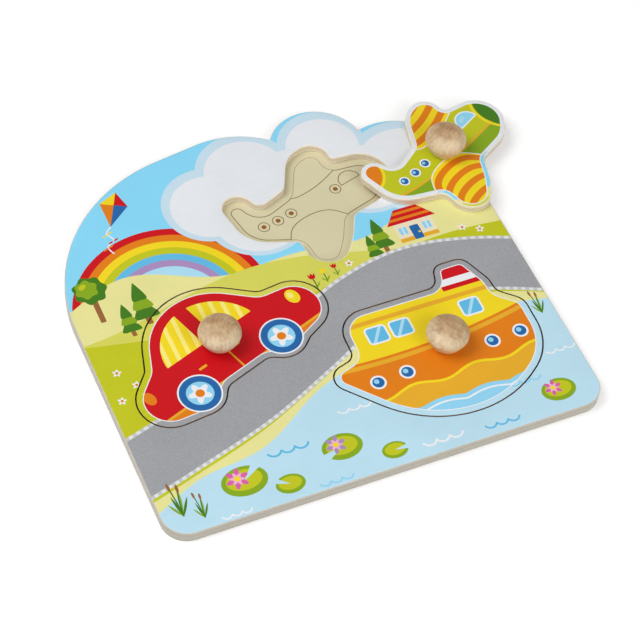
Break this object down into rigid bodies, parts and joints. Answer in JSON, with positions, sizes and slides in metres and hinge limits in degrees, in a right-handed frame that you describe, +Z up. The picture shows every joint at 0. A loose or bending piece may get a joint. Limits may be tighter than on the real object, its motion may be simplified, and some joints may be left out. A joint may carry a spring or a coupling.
{
  "type": "peg puzzle",
  "caption": "Flat wooden peg puzzle board with a cloud-shaped top and printed vehicle pieces that lift out of their cut-outs by round turned knobs.",
  "frame": {"origin": "middle of the board's rectangle, on the underside", "axes": "+X to the right along the straight edge, +Y from the straight edge towards the cloud, +Z up through the printed face"},
  "size_m": [0.3183, 0.275, 0.0325],
  "materials": {
    "printed_board": "plywood, printed in flat colours on the face and lacquered satin",
    "raw_ply": "pale plywood, sanded",
    "printed_car": "plywood, printed red and lacquered satin",
    "printed_boat": "plywood, printed orange and yellow and lacquered satin",
    "printed_airplane": "plywood, printed green with yellow and orange and lacquered satin",
    "turned_wood": "turned pale hardwood, sanded and left natural",
    "screw_steel": "zinc-plated"
  },
  "bodies": {
    "board": {"front_board": "printed_board", "back_board": "raw_ply"},
    "car": {"car_piece": "printed_car", "car_knob": "turned_wood", "car_screw": "screw_steel"},
    "boat": {"boat_piece": "printed_boat", "boat_knob": "turned_wood", "boat_screw": "screw_steel"},
    "airplane": {"airplane_piece": "printed_airplane", "airplane_knob": "turned_wood", "airplane_screw": "screw_steel"}
  },
  "joints": [
    {"name": "car_lift", "type": "slide", "parent": "board", "child": "car", "axis": [0, 0, 1], "range_m": [0, 0.05]},
    {"name": "boat_lift", "type": "slide", "parent": "board", "child": "boat", "axis": [0, 0, 1], "range_m": [0, 0.05]},
    {"name": "airplane_lift", "type": "slide", "parent": "board", "child": "airplane", "axis": [0, 0, 1], "range_m": [0, 0.05]}
  ]
}
